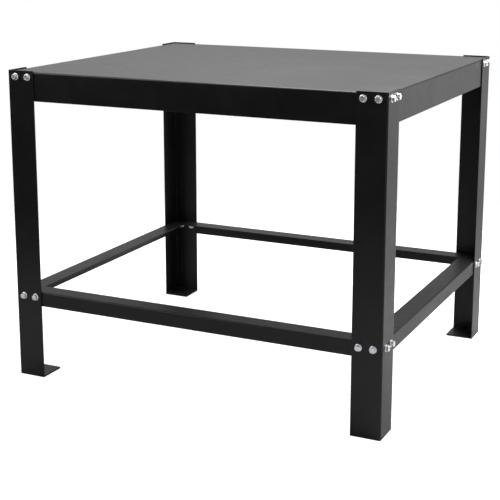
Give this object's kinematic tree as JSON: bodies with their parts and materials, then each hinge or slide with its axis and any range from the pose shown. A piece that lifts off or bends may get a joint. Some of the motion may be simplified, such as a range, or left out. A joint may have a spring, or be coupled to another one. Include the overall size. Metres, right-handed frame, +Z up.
{
  "type": "forge stand",
  "caption": "Bolt-together black sheet-steel work stand: flat tray top with folded aprons, corner angle legs on foot plates and a ring of lower rails.",
  "frame": {"origin": "on the floor, at the centre of the stand's footprint", "axes": "+X along the width, to the right of someone facing the front; +Y towards the back; +Z up"},
  "size_m": [1.032, 0.88, 0.813],
  "materials": {
    "powder_coat_top": "satin black powder coat",
    "powder_coat_legs": "satin black powder coat",
    "powder_coat_rails": "satin black powder coat",
    "zinc_bolts": "bright zinc plate",
    "zinc_nuts": "bright zinc plate"
  },
  "bodies": {
    "root": {"tray_top": "powder_coat_top", "leg_front_left": "powder_coat_legs", "leg_front_right": "powder_coat_legs", "leg_rear_left": "powder_coat_legs", "leg_rear_right": "powder_coat_legs", "foot_front_left": "powder_coat_legs", "foot_front_right": "powder_coat_legs", "foot_rear_left": "powder_coat_legs", "foot_rear_right": "powder_coat_legs", "rail_front": "powder_coat_rails", "rail_rear": "powder_coat_rails", "rail_left": "powder_coat_rails", "rail_right": "powder_coat_rails", "upper_bolts_front_left": "zinc_bolts", "upper_bolts_front_right": "zinc_bolts", "upper_bolts_rear_left": "zinc_bolts", "upper_bolts_rear_right": "zinc_bolts", "lower_bolts_front_left": "zinc_bolts", "lower_bolts_front_right": "zinc_bolts", "lower_bolts_rear_left": "zinc_bolts", "lower_bolts_rear_right": "zinc_bolts", "upper_nuts_front_left": "zinc_nuts", "upper_nuts_front_right": "zinc_nuts", "upper_nuts_rear_left": "zinc_nuts", "upper_nuts_rear_right": "zinc_nuts", "lower_nuts_front_left": "zinc_nuts", "lower_nuts_front_right": "zinc_nuts", "lower_nuts_rear_left": "zinc_nuts", "lower_nuts_rear_right": "zinc_nuts"}
  },
  "joints": []
}
